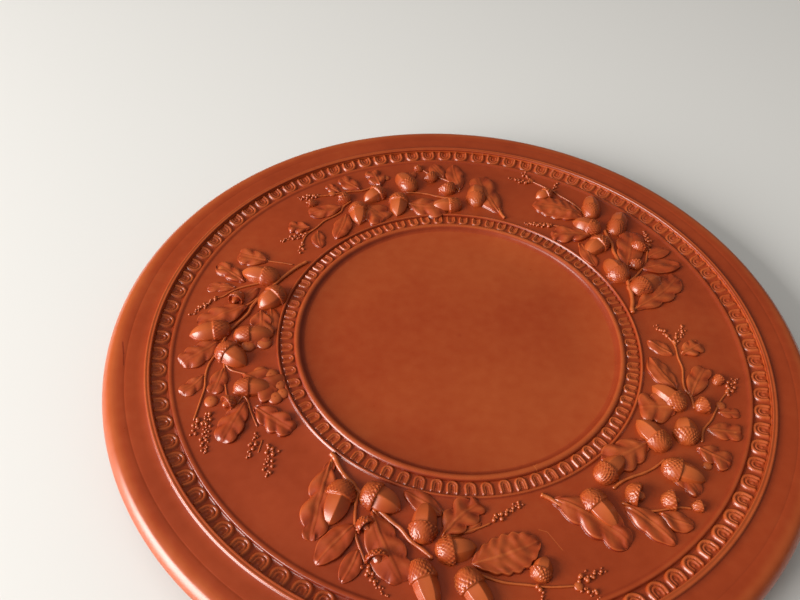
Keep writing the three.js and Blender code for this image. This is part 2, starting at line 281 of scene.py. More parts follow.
def loft(rings, first_pole=None, last_pole=None, slip_and_painted_light=None):
    """A shell from rings of equal count: quads between neighbouring rings, closed round each ring.
    A pole closes an end with a fan. Without poles the last ring joins the first, as in a torus."""
    count, sides = rings.shape[:2]
    verts = rings.reshape(-1, 3)
    marks = np.zeros(len(verts)) if slip_and_painted_light is None else slip_and_painted_light.reshape(-1)
    i = np.arange(count if first_pole is None else count - 1)[:, None]
    j = np.arange(sides)[None, :]
    ahead, beside = (i + 1) % count, (j + 1) % sides
    quads = np.stack([i * sides + j, i * sides + beside, ahead * sides + beside, ahead * sides + j],
                     axis=-1).reshape(-1, 4)
    tris = np.zeros((0, 3), int)
    if first_pole is not None:
        verts = np.vstack([verts, first_pole, last_pole])
        marks = np.append(marks, [0.0, 0.0])
        k = np.arange(sides)
        after = (k + 1) % sides
        start, end = len(verts) - 2, len(verts) - 1
        lift = (count - 1) * sides
        tris = np.vstack([np.stack([np.full(sides, start), after, k], axis=1),
                          np.stack([np.full(sides, end), lift + k, lift + after], axis=1)])
    return outward(verts, quads, tris, marks)


def outward(verts, quads, tris, marks):
    """Turns every face round if the enclosed volume, a sum of signed tetrahedra, comes out negative."""
    corners = np.vstack([quads[:, [0, 1, 2]], quads[:, [0, 2, 3]], tris])
    a, b, c = (verts[corners[:, k]] for k in range(3))
    if np.einsum("ij,ij->i", a - verts[0], np.cross(b - verts[0], c - verts[0])).sum() < 0:
        quads, tris = quads[:, ::-1], tris[:, ::-1]
    return verts, quads, tris, marks


def add_piece(name, shells):
    """One mesh from several closed shells, in metres, with the shells' per-point tone as a point attribute: slip
    thickness mixed with painted light and painted shade.
    """
    offsets = np.cumsum([0] + [len(shell[0]) for shell in shells])
    verts = np.vstack([shell[0] for shell in shells]) * MM
    quads = np.vstack([shell[1] + k for shell, k in zip(shells, offsets)])
    tris = np.vstack([shell[2] + k for shell, k in zip(shells, offsets)])
    marks = np.concatenate([shell[3] for shell in shells])
    mesh = bpy.data.meshes.new(name)
    mesh.vertices.add(len(verts))
    mesh.vertices.foreach_set("co", verts.ravel())
    loops = np.concatenate([quads.ravel(), tris.ravel()])
    starts = np.concatenate([np.arange(len(quads)) * 4, len(quads) * 4 + np.arange(len(tris)) * 3])
    mesh.loops.add(len(loops))
    mesh.loops.foreach_set("vertex_index", loops)
    mesh.polygons.add(len(starts))
    mesh.polygons.foreach_set("loop_start", starts)
    mesh.polygons.foreach_set("use_smooth", np.ones(len(starts), bool))
    mesh.update(calc_edges=True)
    mesh.validate()
    # The point attribute holds painted light and painted shade as well as the slip's tone
    mesh.attributes.new("slip_and_painted_light", "FLOAT", "POINT").data.foreach_set("value", marks)
    piece = bpy.data.objects.new(name, mesh)
    bpy.context.scene.collection.objects.link(piece)
    piece.data.materials.append(clay_material())
    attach(piece, "root")
    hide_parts("plate")
    return piece


def polar(angle, radius):
    """A point of the plate from its angle in degrees and its radius."""
    radians = np.radians(angle)
    return np.array([radius * np.cos(radians), radius * np.sin(radians)])


def hand_turned(verts):
    """The unevenness of a hand-turned plate: slow waves round the rim that grow with the radius."""
    wobble = bpy.context.scene.plate_sizes.wobble / MM
    angle = np.arctan2(verts[..., 1], verts[..., 0])
    share = np.clip(np.hypot(verts[..., 0], verts[..., 1]) / RIM_RADIUS, 0, 1) ** 2
    above_foot = np.clip((verts[..., 2] - 6) / 8, 0, 1)
    wave = np.sin(2 * angle + 0.7) + 0.5 * np.sin(3 * angle + 2.1) + 0.3 * np.sin(5 * angle + 4.0)
    verts[..., 2] += wobble * wave * share * above_foot
    return verts


# The turned body

def body_profile():
    """The closed profile of the turned body: stretches of smooth curve that meet in the tool's corners.
    Each stretch is its points and the steps between two of them."""
    f = FIELD_Z
    outer, inner = OUTER_BAND, INNER_BAND
    outer_floor = f - outer["depth"] - BAND_SEAT
    inner_floor = f - inner["depth"] - BAND_SEAT
    stretches = [
        ([(2, FLOOR_UNDER_Z), (45, FLOOR_UNDER_Z), (88, FLOOR_UNDER_Z)], 2),
        ([(88, FLOOR_UNDER_Z), (93, 11.2), (95.8, 8), (96.6, 3), (97.0, 0.8)], 2),
        ([(FOOT_INNER, 0.8), (97.3, 0.2), (98, 0)], 2),
        ([(98, 0), (104, 0)], 1),
        ([(104, 0), (104.7, 0.2), (FOOT_OUTER, 0.8)], 2),
        ([(FOOT_OUTER, 0.8), (105.6, 4), (106.4, 7.4), (108.4, 9.3), (112, 9.9)], 2),
        ([(112, 9.9), (126, 11), (140, 12.2), (156, 13.4), (169.5, 14.4)], 1),
        ([(169.5, 14.4), (172.4, 14.7), (175.8, 15.2), (178.3, 16.0), (179.6, 17.2), (RIM_RADIUS, 18.6),
          (179.8, 19.9), (179.15, 21.1), (178.1, 22.25), (177.0, 23.15), (175.9, 23.7), (174.2, 24.03),
          (172.0, 24.12)], 3),
        ([(172.0, 24.12), (170.5, 24.1), (169.3, 24.02), (168.7, 23.93), (168.1, 23.98), (165.0, 23.9),
          (162.6, 23.8)], 2),
        ([(162.6, 23.8), (161.4, 23.84), (160.4, 23.98), (159.8, 24.14), (159.45, 24.4), (159.15, 24.74),
          (158.8, 24.9), (158.4, 24.88), (157.95, 24.74), (157.6, 24.78), (157.2, 24.84), (156.9, 24.78)], 2),
        ([(156.9, 24.78), (156.6, 24.4), (156.45, 23.6), (156.4, 22.4)], 2),
        ([(156.4, 22.4), (156.2, outer_floor + outer["slope"]), (150.4, outer_floor)], 1),
        ([(150.3, 21.05), (149.7, 21.25), (149.1, 21.45), (148.7, 21.8), (148.4, 22.4), (147.8, 22.7),
          (146.6, 22.55), (145.8, 22.15), (145.0, f)], 2),
        ([(145.0, f), (129, f + 0.06), (112, f + 0.04), (95.8, f)], 2),
        ([(95.8, f), (95.2, 22.2), (94.7, 22.75), (94.2, 22.9), (93.7, 22.6), (93.3, 21.8), (93.1, 21)], 3),
        ([(93.1, 21), (92.9, inner_floor), (86.8, inner_floor)], 1),
        ([(86.6, 21.0), (86.3, 22.0), (85.7, 22.7), (84.8, 23.05), (83.8, 22.9), (82.9, 22.3), (82.1, 21.5),
          (DISC_RADIUS, 21.0)], 3),
        ([(DISC_RADIUS, 21.0), (80.3, DISC_Z), (60, DISC_Z), (40, DISC_Z), (20, DISC_Z), (2, DISC_Z)], 1),
    ]
    curves = [catmull(points, steps)[1 if k else 0:] for k, (points, steps) in enumerate(stretches)]
    profile = np.vstack(curves)
    keep = np.append(True, np.linalg.norm(np.diff(profile, axis=0), axis=1) > 1e-6)
    return profile[keep]


def turned_body():
    """The profile carried round the axis: a point is (r cos a, r sin a, z) for each profile point."""
    profile = body_profile()
    angle = np.arange(bpy.context.scene.plate_sizes.sides) * 2 * np.pi / bpy.context.scene.plate_sizes.sides
    rings = np.stack([profile[:, :1] * np.cos(angle), profile[:, :1] * np.sin(angle),
                      np.repeat(profile[:, 1:], len(angle), axis=1)], axis=-1)
    slope = np.abs(np.gradient(profile[:, 1]) / (np.hypot(*np.gradient(profile, axis=0).T) + 1e-9))
    height = profile[:, 1] - FIELD_Z - BORDER_RISE * (profile[:, 0] > BORDER_INNER)
    # Painted light: the raised crests lighter, partly thinner slip and partly painted highlight; the rim's lip
    # lighter as a painted highlight
    painted_crest_light = 0.4 * np.clip((height - 0.3) / 1.0, 0, 1) * (profile[:, 1] > 15)
    painted_crest_light = np.maximum(painted_crest_light, 0.34 * np.clip((profile[:, 0] - LIP_INNER) / 3, 0, 1) * (profile[:, 1] > 16))
    # Painted shade: the sloping walls of the low parts darker, partly pooled slip and partly painted shade
    painted_hollow_shade = 0.45 * np.clip(slope, 0, 1) * (height < 0.6) * (profile[:, 1] > 19) * (profile[:, 0] < LIP_INNER - 0.5)
    # Painted light: the central disc lighter, as if lit more than the field
    painted_disc_light = 0.15 * (profile[:, 0] < DISC_RADIUS) * (profile[:, 1] > DISC_Z - 1)
    slip_and_painted_light = np.repeat((painted_crest_light - painted_hollow_shade + painted_disc_light)[:, None], len(angle), axis=1)
    rings = hand_turned(rings)
    axis_low = [0, 0, profile[0, 1]]
    axis_high = [0, 0, profile[-1, 1]]
    return loft(rings, axis_low, axis_high, slip_and_painted_light)


# The egg bands

def egg_height(x, y, band):
    """Height of one egg over the channel's floor. x runs across it and y outwards from the inner edge.
    Two nested arches, open outwards, are round ridges along the distance to a half circle whose legs
    lean in. A small pip stands in the middle, and the egg's own body swells under them."""
    def arch(half, turn, end, size):
        leg = half * (1 - 0.06 * np.clip((y - turn) / (end - turn), 0, 1) ** 2)
        away = np.where(y < turn, np.abs(np.hypot(x, y - turn) - half), np.abs(np.abs(x) - leg))
        past = np.clip(y - end, 0, None)
        return np.clip(1 - (np.hypot(away, past) / size) ** 2, 0, 1) ** 0.65

    half, turn, end, size = band["half"], band["turn"], band["end"], band["ridge"]
    swell = np.clip(1 - (x / half) ** 2 - np.where(y < turn, ((y - turn) / half) ** 2, 0), 0, 1)
    swell *= np.clip((end + 0.3 - y) / 0.5, 0, 1)
    outer = arch(half, turn, end, size)
    inner = arch(half * 0.54, turn + half * 0.05, end - 0.2, size * 0.62)
    pip = np.exp(-((x / (half * 0.17)) ** 2 + ((y - band["pip"]) / (half * 0.2)) ** 2) ** 1.2)
    return band["rise"] * (np.maximum(outer, 0.62 * inner) + 0.35 * pip * (1 - inner) + 0.12 * swell)


def egg_band(band, seed):
    """A ring with a height over a grid of angle and radius: the channel's floor with its eggs.
    Each egg is shifted, turned and pressed a little differently, as from a hand-held stamp."""
    steps = bpy.context.scene.plate_sizes.egg_steps
    rng = np.random.default_rng(seed)
    count = band["count"]
    columns = count * steps
    rows = int((band["outer"] - band["inner"]) / 0.35)
    pitch = 360 / count
    share = (np.arange(columns) % steps + 0.5) / steps - 0.5
    egg = np.arange(columns) // steps
    shift = rng.normal(0, 0.22, count)[egg]
    sag = rng.normal(0, 0.13, count)[egg]
    lean = rng.normal(0, 0.05, count)[egg]
    press = rng.uniform(0.8, 1.1, count)[egg]
    radius = np.linspace(band["inner"], band["outer"], rows)[:, None]
    y = radius - band["inner"]
    x = share[None, :] * np.radians(pitch) * (band["inner"] + y) - shift + lean * (y - 4)
    blend = np.clip((0.5 - np.abs(share)) / 0.08, 0, 1)
    height = press * egg_height(x, y - sag, band) * blend
    angle = np.radians(band["start"] + (egg + share) * pitch)
    floor = FIELD_Z - band["depth"] + band["slope"] * y / y.max()
    top = np.stack([radius * np.cos(angle), radius * np.sin(angle), floor + height], axis=-1)
    under = FIELD_Z - band["depth"] - 1.2
    walls = [np.stack([edge * np.cos(angle), edge * np.sin(angle), np.full(columns, under)], axis=-1)[None]
             for edge in (band["outer"], band["inner"])]
    rings = np.concatenate([top, *walls])
    # Painted light on the raised eggs, growing with their height, and painted shade on the channel floor beside
    # them
    painted_egg_light_and_shade = 0.42 * np.clip(height / band["rise"], 0, 1) - 0.04 * np.clip(1 - height / 0.3, 0, 1)
    slip_and_painted_light = np.concatenate([painted_egg_light_and_shade, np.zeros((2, columns))])
    return loft(hand_turned(rings), slip_and_painted_light=slip_and_painted_light)


# The oak sprays

def frame_of(row):
    """The base, the direction along, the direction across and the length of a leaf or acorn."""
    base, tip = polar(row[0], row[1]), polar(row[2], row[3])
    length = np.hypot(*(tip - base))
    along = (tip - base) / length
    return base, along, np.array([-along[1], along[0]]), length


def leaf(row, rng, crisp):
    """An oak leaf. u runs along the midrib and v across. The half width is a slim base widening to the
    tip, times the lobes |sin(pi n u)|. The top is two soft half domes with a raised midrib between them
    and a pillow on each lobe, and the edge falls steeply to the field."""
    base, along, across, length = frame_of(row)
    shape = bpy.context.scene.spray_shape
    rise, edge = shape.leaf_rise / MM, shape.leaf_edge / MM
    half, depth = row[4] / 2, row[5]
    small = np.clip(row[4] / 11, 0.35, 1.15)
    pointed = depth < 0.1
    lobes = 6 if pointed and length > 27 else 3 if length > 22 else 2
    crumple = 2.2 if lobes == 6 else 1.0
    u = 0.5 - 0.5 * np.cos(np.pi * np.linspace(0.012, 0.988, 56))[:, None]
    v = np.sin(np.pi / 2 * np.linspace(-1, 1, 27))[None, :]
    drift = rng.uniform(0.8, 1.2, 2)
    count = np.where(v < 0, drift[0], drift[1]) * lobes
    phase = count * (u - 0.12 * np.abs(v)) + rng.uniform(-0.12, 0.12)
    envelope = u ** 0.7 * (1 - u) ** 0.75 / 0.357 if pointed else u ** 0.6 * (1 - u) ** 0.4 / 0.493
    side_depth = np.where(v < 0, rng.uniform(0.8, 1.3), rng.uniform(0.8, 1.3)) * depth * (1 + 0.45 * crisp)
    lobe = np.sin(np.pi * phase) ** 2
    width = half * envelope * (1 - side_depth + side_depth * lobe ** (0.4 if not pointed else 0.7))
    side = width * v
    sweep = 0.16 * width * np.abs(v) ** 1.5
    bend = rng.uniform(-0.07, 0.07) * length * 4 * u * (1 - u)
    cap = np.clip(np.minimum(u / 0.07, (1 - u) / 0.06), 0, 1) ** 0.5
    dome = (1 - v ** 2) ** 0.5 * (1 - 0.42 * np.exp(-(side / 1.3) ** 2)) * np.sin(np.pi * u ** 0.8) ** 0.5
    midrib = (0.45 + 0.25 * crisp) * np.exp(-(side / 0.4) ** 2) * (1 - u) ** 0.35
    pillow = ((0.15 + (0.2 if pointed else 1.6) * depth) * (lobe - 0.5) * np.abs(v) ** 2 * (1 - v ** 2)
              * 4 * min(1.0, half / 5))
    crease = (-(0.1 if pointed else 0.34) * np.exp(-((1 - np.sqrt(lobe)) / 0.82 - 1) ** 2 * 40)
              * np.abs(v) ** 1.3)
    vein = ((0.05 if pointed else 0.1) * crisp * np.exp(-((phase % 1 - 0.5) / 0.07) ** 2)
            * np.abs(v) ** 0.4 * (1 - np.abs(v) ** 3))
    tilt = rng.uniform(-0.35, 0.35) * v + rng.uniform(-0.15, 0.35) * np.abs(v) ** 4
    press = sum(0.16 * rng.normal() * np.cos(a * np.pi * u + b * 1.6 * v + rng.uniform(0, 6))
                for a, b in ((2, 1), (3, 2), (1, 3)))
    for _ in range(int(3 + length * half / 18)):
        spot, aside, size = rng.uniform(0.15, 0.9), rng.uniform(-0.8, 0.8), rng.uniform(1.3, 2.4)
        gap = ((u - spot) * length) ** 2 + ((v - aside) * width) ** 2
        press = press + crumple * rng.choice([-0.2, 0.26]) * np.exp(-gap / size ** 2) * (1 - v ** 8)
    top = small * (edge + (rise - edge) * dome + midrib + pillow + crease + vein + tilt + press)
    top = np.maximum(top * cap, 0.15 * cap)

    def place(distance, aside, height):
        flat = base + distance[..., None] * along + aside[..., None] * across
        return np.concatenate([flat, (FIELD_Z + height)[..., None]], axis=-1)

    distance = u * length + sweep
    surface = place(distance, side + bend, top)
    skirts = []
    for sign in (1, -1):
        border = -1 if sign > 0 else 0
        level = top[:, border]
        rows = [(0.1, level * 0.55), (0.2, level * 0.1), (0.5, level * 0 - 0.14), (0.5, level * 0 - SUNK)]
        skirt = [place(distance[:, border], side[:, border] + bend[:, 0] + sign * out, height)
                 for out, height in rows]
        skirts.append(np.stack(skirt if sign > 0 else skirt[::-1], axis=1))
    rings = np.concatenate([surface, skirts[0], skirts[1]], axis=1)
    # Painted light and shade: dome, midrib, veins, pillows and rim lighter, creases darker, and the skirts down
    # to the field darker as painted shade
    shade = 0.35 * dome + 0.7 * midrib + 1.2 * vein + 0.7 * pillow + crease + 0.3 * (np.abs(v) > 0.93) - 0.1
    slip_and_painted_light = np.concatenate([np.clip(shade, -0.4, 1), np.full((len(u), 8), -0.5)], axis=1)
    ends = [np.append(base + at * length * along, FIELD_Z - 0.5 * SUNK) for at in (-0.01, 1.01)]
    return loft(rings, ends[0], ends[1], slip_and_painted_light)


# Outlines from base to tip, as shares of the length and of the half width. An acorn is cup, rim, nut
# and point. An open cup curls in at its mouth round a small nut.
ACORN_OUTLINE = [(0.004, 0.2), (0.05, 0.52), (0.14, 0.78), (0.26, 0.94), (0.37, 1.0), (0.42, 0.98),
                 (0.432, 0.93), (0.45, 0.91), (0.55, 0.92), (0.67, 0.86), (0.79, 0.72), (0.89, 0.5),
                 (0.945, 0.31), (0.97, 0.18), (0.99, 0.1), (1.0, 0.04)]
CUP_OUTLINE = [(0.004, 0.22), (0.08, 0.58), (0.25, 0.86), (0.45, 1.0), (0.6, 1.02), (0.66, 0.94), (0.61, 0.8),
               (0.55, 0.68), (0.53, 0.54), (0.6, 0.44), (0.7, 0.38), (0.8, 0.25), (0.85, 0.05)]
CUP_TILT = math.radians(15)
CUP_SHARE = {"acorn": 0.42, "cup": 0.66}


def acorn(row, rng, crisp, kind="acorn"):
    """An acorn or an open cup, lying half sunk in the field: the outline turned about the line from base
    to tip, which an open cup lifts out of the field. The scales are the product of two families of
    spirals, bent and pressed unevenly. The nut is pared to flats by a polygon's radius,
    cos(pi / n) / cos(a)."""
    base, along, across, length = frame_of(row)
    half = row[4] / 2
    outline = catmull(ACORN_OUTLINE if kind == "acorn" else CUP_OUTLINE, 3)
    at, share = outline[:, :1], outline[:, 1:]
    turn = np.concatenate([np.linspace(0, np.pi, 52), np.pi + np.linspace(0, np.pi, 7)[1:-1]])[None, :]
    tilt, sink = (0.0, 0.25) if kind == "acorn" else (CUP_TILT, -0.4)
    edge = CUP_SHARE[kind]
    cup = np.clip((edge - at) / 0.03, 0, 1) * np.clip(at / 0.05, 0, 1) * (np.arange(len(at))[:, None] < 16)
    rows = edge * length / 1.05 * (at / edge) ** 0.85
    spin = np.round(half * np.pi / 1.9)
    slant = 0.8 * np.sin(3 * turn + rng.uniform(0, 6)) + 0.7 * np.sin(13 * at + rng.uniform(0, 6))
    scales = np.abs(np.sin(spin * turn + np.pi * rows / 2 + slant) * np.sin(spin * turn - np.pi * rows / 2))
    uneven = 0.7 + 0.4 * np.sin(2.3 * turn + 9 * at + rng.uniform(0, 6)) + 0.3 * rng.normal(size=turn.shape)
    grain = (0.35 + 0.75 * crisp) * cup * (scales ** 0.7 - 0.45) * uneven
    wedge = 2 * np.pi / 6
    start = rng.uniform(0, wedge)
    flat_cut = np.cos(wedge / 2) / np.cos((turn + start) % wedge - wedge / 2)
    flats = 1 - (0.25 + 0.65 * crisp) * (1 - flat_cut) * (at > edge)
    radius = half * share * flats + grain * half / 6.3
    aside = radius * np.cos(turn)
    lift = 0.9 * radius * np.sin(turn)
    height = sink + at * length * math.sin(tilt) + lift * math.cos(tilt)
    distance = at * length * math.cos(tilt) - lift * math.sin(tilt)
    flat = base + distance[..., None] * along + aside[..., None] * across
    rings = np.concatenate([flat, (FIELD_Z + height)[..., None]], axis=-1)
    # Painted light on the top of each acorn and cup, besides the tone of the scales and the lighter nut
    slip_and_painted_light = np.where(cup > 0.1, 0.05 + 1.1 * grain, 0.2) + 0.3 * np.clip(np.sin(turn), 0, 1) ** 3
    # Painted shade inside the curled mouth of an open cup
    painted_mouth_shade = 0.4 * np.exp(-((np.arange(len(at))[:, None] - 23) / 4) ** 2) * (kind == "cup")
    ends = [np.append(base + k * length * math.cos(tilt) * along,
                      FIELD_Z + sink + k * length * math.sin(tilt))
            for k in (0.0, outline[-1, 0] + 0.004)]
    return loft(rings, ends[0], ends[1], slip_and_painted_light - painted_mouth_shade)


def tube(path, radius, rise):
    """A round bar along a path of (x, y) points: circles of the given radii square to the path's run."""
    run = np.gradient(path, axis=0)
    run /= np.linalg.norm(run, axis=1, keepdims=True)
    across = np.stack([-run[:, 1], run[:, 0]], axis=1)
    turn = np.arange(10) * 2 * np.pi / 10
    radius = radius[:, None]
    flat = path[:, None, :] + (radius * np.cos(turn))[..., None] * across[:, None, :]
    height = FIELD_Z + rise + radius * np.sin(turn)
    rings = np.concatenate([flat, height[..., None]], axis=-1)
    ends = [np.append(path[k], FIELD_Z + rise) for k in (0, -1)]
    # Painted light: the top of the bar lighter
    slip_and_painted_light = np.clip(np.sin(turn), 0, 1)[None, :] * 0.7 + 0 * radius
    return loft(rings, ends[0], ends[1], slip_and_painted_light)


def stem(thickness, route, turn, rng):
    """A twig: a smooth curve through the route that thins towards its end, with slight knots on it."""
    points = np.array([polar(a + turn, r) for a, r in route])
    path = catmull(points, 8)
    share = np.linspace(0, 1, len(path))
    knots = 0.12 * np.cos(share * np.pi * 2 * (len(route) - 1)) + 0.08 * rng.normal(size=len(path))
    radius = thickness * (0.92 - 0.32 * share) * (1 + 0.5 * knots)
    radius[0] *= 0.7
    radius[-1] *= 0.6
    return tube(path, radius, 0.4 * thickness)


def bead(centre, radius, sides=9, squash=1.0):
    """A small round bead: circles of latitude between two poles."""
    rise = np.linspace(-1, 1, sides - 2)[1:-1] * np.pi / 2
    turn = np.arange(sides) * 2 * np.pi / sides
    ring = np.stack([np.cos(rise)[:, None] * np.cos(turn), np.cos(rise)[:, None] * np.sin(turn),
                     np.repeat(np.sin(rise)[:, None], sides, axis=1)], axis=-1)
    scale = radius * np.array([1, 1, squash])
    poles = np.array([[0, 0, -1], [0, 0, 1]]) * scale + centre
    # Painted light: the top of the bead lighter
    slip_and_painted_light = 0.7 * np.repeat(np.clip(np.sin(rise), 0, 1)[:, None], sides, axis=1)
    return loft(ring * scale + centre, poles[0], poles[1], slip_and_painted_light)


def catkin(row, rng):
    """A catkin: beads in loose rows on both sides of a thread, thinning towards the tip."""
    base, along, across, length = frame_of(row)
    size = bpy.context.scene.spray_shape.bead / MM
    shells = []
    steps = int(length / 0.8 * row[4] ** 0.5)
    for k in range(steps):
        share = k / steps
        spread = 1.25 * row[4] * np.sin(np.pi * (0.12 + 0.8 * share)) ** 0.7
        aside = spread * (-1, 0.25, 1, -0.3)[k % 4] + rng.normal(0, 0.4)
        flat = base + along * (share * length + rng.normal(0, 0.25)) + across * aside
        radius = size * rng.uniform(0.6, 1.35) * (1 - 0.35 * share)
        shells.append(bead(np.append(flat, FIELD_Z + 0.35 * radius), radius))
    return shells


def spray(growth, turn, crisp, seed):
    """All the closed forms of one spray, from the lowest to the highest: leaves, twigs, catkins, acorns."""
    rng = np.random.default_rng(seed)

    def turned(row):
        return (row[0] + turn, row[1], row[2] + turn, *row[3:])

    shells = [leaf(turned(row), rng, crisp) for row in growth["leaves"]]
    shells += [stem(thickness, route, turn, rng) for thickness, route in growth["stems"]]
    for row in growth["catkins"]:
        shells += catkin(turned(row), rng)
    for angle, radius, width in growth["knobs"]:
        centre = np.append(polar(angle + turn, radius), FIELD_Z + 0.2)
        shells.append(bead(centre, 0.55 * width, 20, 0.42))
    for kind in ("acorn", "cup"):
        shells += [acorn(turned(row), rng, crisp, kind) for row in growth[kind + "s"]]
    return shells


# Materials

def node_group(name, inputs, outputs):
    """A new shader node group with float inputs and outputs, and its two end nodes."""
    group = bpy.data.node_groups.new(name, "ShaderNodeTree")
    for label, default in inputs:
        socket = group.interface.new_socket(label, in_out="INPUT", socket_type="NodeSocketFloat")
        socket.default_value = default
    for label in outputs:
        group.interface.new_socket(label, in_out="OUTPUT", socket_type="NodeSocketFloat")
    return group, group.nodes.new("NodeGroupInput"), group.nodes.new("NodeGroupOutput")


def math_node(tree, operation, a, b=None, c=None):
    """A Math node whose inputs are sockets or numbers."""
    node = tree.nodes.new("ShaderNodeMath")
    node.operation = operation
    for socket, value in zip(node.inputs, (a, b, c)):
        if value is None:
            continue
        if hasattr(value, "is_linked"):
            tree.links.new(value, socket)
        else:
            socket.default_value = value
    return node.outputs[0]


def turning_lines_group():
    """Fine rings left by the wheel: noise along the distance from the plate's axis."""
    group, given, result = node_group("turning_lines", [("Spacing", 700.0)], ["Height"])
    place = group.nodes.new("ShaderNodeTexCoord")
    parts = group.nodes.new("ShaderNodeSeparateXYZ")
    group.links.new(place.outputs["Object"], parts.inputs[0])
    squares = math_node(group, "ADD", math_node(group, "MULTIPLY", parts.outputs[0], parts.outputs[0]),
                        math_node(group, "MULTIPLY", parts.outputs[1], parts.outputs[1]))
    radius = math_node(group, "SQRT", squares)
    noise = group.nodes.new("ShaderNodeTexNoise")
    noise.noise_dimensions = "1D"
    noise.inputs["Detail"].default_value = 2.0
    noise.inputs["Scale"].default_value = 1.0
    group.links.new(math_node(group, "MULTIPLY", radius, given.outputs["Spacing"]), noise.inputs["W"])
    group.links.new(noise.outputs["Fac"], result.inputs["Height"])
    return group


def scratches_group():
    """Scratches, cracks and nicks. Each lies along a straight length on the plate: the distance to that
    length, over half the scratch's width, gives its depth, and the depth times its shade gives its tone."""
    group, given, result = node_group("scratches", [("Depth", 1.0)], ["Mask", "Tone"])
    place = group.nodes.new("ShaderNodeTexCoord")
    parts = group.nodes.new("ShaderNodeSeparateXYZ")
    group.links.new(place.outputs["Object"], parts.inputs[0])

    def node(operation, *values):
        return math_node(group, operation, *values)

    total, tone = 0.0, 0.0
    for row in SCRATCHES:
        start, end = polar(row[0], row[1]) * MM, polar(row[2], row[3]) * MM
        length = np.hypot(*(end - start))
        run = (end - start) / length
        x, y = (node("SUBTRACT", parts.outputs[k], start[k]) for k in (0, 1))
        along = node("ADD", node("MULTIPLY", x, run[0]), node("MULTIPLY", y, run[1]))
        along = node("MINIMUM", node("MAXIMUM", along, 0.0), length)
        x = node("SUBTRACT", x, node("MULTIPLY", along, run[0]))
        y = node("SUBTRACT", y, node("MULTIPLY", along, run[1]))
        away = node("SQRT", node("ADD", node("MULTIPLY", x, x), node("MULTIPLY", y, y)))
        mask = node("MAXIMUM", node("SUBTRACT", 1.0, node("DIVIDE", away, row[4] / 2 * MM)), 0.0)
        total = node("MAXIMUM", total, mask)
        tone = node("ADD", tone, node("MULTIPLY", mask, row[5]))
    group.links.new(node("MULTIPLY", total, given.outputs["Depth"]), result.inputs["Mask"])
    group.links.new(tone, result.inputs["Tone"])
    return group


def slip_clouds_group():
    """Uneven thickness of the dipped slip: two sizes of soft noise, added."""
    group, given, result = node_group("slip_clouds", [("Broad", 14.0), ("Fine", 180.0)], ["Cloud", "Grain"])
    place = group.nodes.new("ShaderNodeTexCoord")
    for label, detail, out in (("Broad", 3.0, "Cloud"), ("Fine", 4.0, "Grain")):
        noise = group.nodes.new("ShaderNodeTexNoise")
        noise.inputs["Detail"].default_value = detail
        group.links.new(place.outputs["Object"], noise.inputs["Vector"])
        group.links.new(given.outputs[label], noise.inputs["Scale"])
        group.links.new(noise.outputs["Fac"], result.inputs[out])
    return group


def clay_material():
    """Fired red clay under a satin gloss slip: darker in the hollows, partly pooled slip and partly painted
    shade, and lighter on the ridges and the tops of the forms, partly thinner slip and partly painted light.
    """
    material = bpy.data.materials.get("sigillata_slip")
    if material:
        return material
    colours = bpy.context.scene.clay_colours
    material = bpy.data.materials.new("sigillata_slip")
    material.use_nodes = True
    tree = material.node_tree
    shader = tree.nodes["Principled BSDF"]
    clouds = tree.nodes.new("ShaderNodeGroup")
    clouds.node_tree = slip_clouds_group()
    rings = tree.nodes.new("ShaderNodeGroup")
    rings.node_tree = turning_lines_group()
    scratches = tree.nodes.new("ShaderNodeGroup")
    scratches.node_tree = scratches_group()
    # Per-point tone: painted light on crests and tops, painted shade in hollows, mixed with slip thickness
    slip_and_painted_light = tree.nodes.new("ShaderNodeAttribute")
    slip_and_painted_light.attribute_name = "slip_and_painted_light"

    level = math_node(tree, "ADD", math_node(tree, "MULTIPLY", slip_and_painted_light.outputs["Fac"], 0.5),
                      math_node(tree, "MULTIPLY", clouds.outputs["Cloud"], 0.34))
    level = math_node(tree, "ADD", level, math_node(tree, "MULTIPLY", clouds.outputs["Grain"], 0.14))
    level = math_node(tree, "ADD", level, 0.16)
    level = math_node(tree, "ADD", level, scratches.outputs["Tone"])
    ramp = tree.nodes.new("ShaderNodeValToRGB")
    tree.links.new(level, ramp.inputs["Fac"])
    ramp.color_ramp.elements[0].position = 0.12
    ramp.color_ramp.elements[0].color = colours.thick_slip_and_painted_shade
    ramp.color_ramp.elements[1].position = 0.9
    ramp.color_ramp.elements[1].color = colours.thin_slip_and_painted_light
    ramp.color_ramp.elements.new(0.42).color = colours.slip
    tree.links.new(ramp.outputs["Color"], shader.inputs["Base Color"])

    rough = math_node(tree, "ADD", math_node(tree, "MULTIPLY", clouds.outputs["Grain"], 0.14),
                      colours.roughness - 0.07)
    tree.links.new(rough, shader.inputs["Roughness"])
    shader.inputs["Specular IOR Level"].default_value = 0.62
    shader.inputs["Coat Weight"].default_value = 0.1
    shader.inputs["Coat Roughness"].default_value = 0.28

    relief = math_node(tree, "ADD", math_node(tree, "MULTIPLY", rings.outputs["Height"], 0.12),
                       math_node(tree, "MULTIPLY", clouds.outputs["Grain"], 0.5))
    relief = math_node(tree, "SUBTRACT", relief, math_node(tree, "MULTIPLY", scratches.outputs["Mask"], 1.2))
    bump = tree.nodes.new("ShaderNodeBump")
    bump.inputs["Strength"].default_value = 0.18
    bump.inputs["Distance"].default_value = 0.0003
    tree.links.new(relief, bump.inputs["Height"])
    tree.links.new(bump.outputs["Normal"], shader.inputs["Normal"])
    return material


